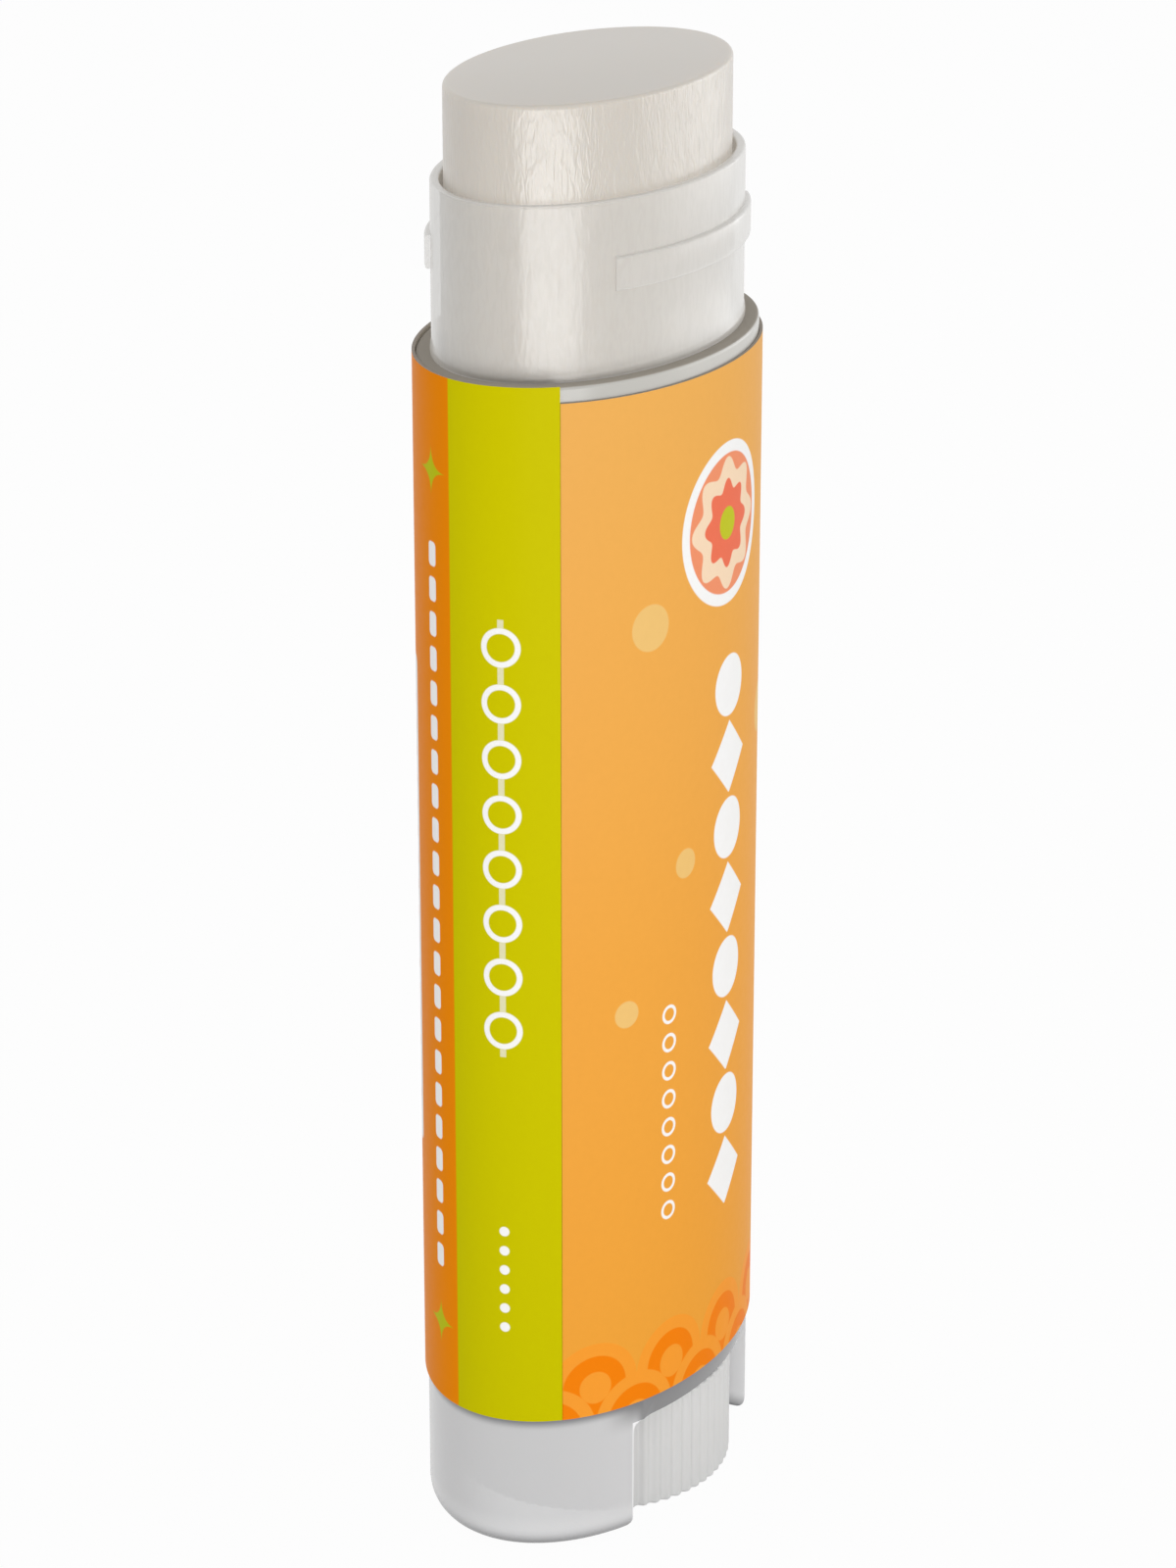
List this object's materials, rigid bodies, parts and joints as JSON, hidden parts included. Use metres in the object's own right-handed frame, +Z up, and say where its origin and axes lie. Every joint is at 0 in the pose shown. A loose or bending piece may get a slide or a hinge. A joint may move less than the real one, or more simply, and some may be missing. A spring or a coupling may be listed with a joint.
{
  "type": "lip balm stick",
  "caption": "Oval twist-up lip balm stick without its cap: ribbed dial and screw in the foot, sliding oval carrier, cream balm raised above the neck, plain orange labels.",
  "frame": {"origin": "middle of the foot, on the axis of the dial and screw", "axes": "+Z up along the tube towards the balm, X along the wide way of the oval, Y along the narrow way with the front label facing -Y"},
  "size_m": [0.02, 0.013, 0.0632],
  "materials": {
    "tube": "translucent white polypropylene, satin mould finish",
    "front_label": "printed film label, light orange, satin",
    "back_label": "printed film label, dark orange with yellow-green bands, satin",
    "dial_screw": "white polypropylene",
    "carrier": "white polypropylene",
    "balm": "pearly cream wax balm"
  },
  "bodies": {
    "tube": {"tube": "tube", "front_label": "front_label", "back_label": "back_label"},
    "dial": {"dial_screw": "dial_screw"},
    "stick": {"carrier": "carrier", "balm": "balm"}
  },
  "joints": [
    {"name": "dial_turn", "type": "hinge", "parent": "tube", "child": "dial", "pos_m": [0, 0, 0], "axis": [0, 0, -1], "range_deg": [-490.5, 3695.5]},
    {"name": "balm_rise", "type": "slide", "parent": "tube", "child": "stick", "axis": [0, 0, 1], "range_m": [-0.0049, 0.03695]}
  ],
  "couplings": [
    {"joint": "dial_turn", "follows": "balm_rise", "rad_per_m": 1745.3}
  ]
}
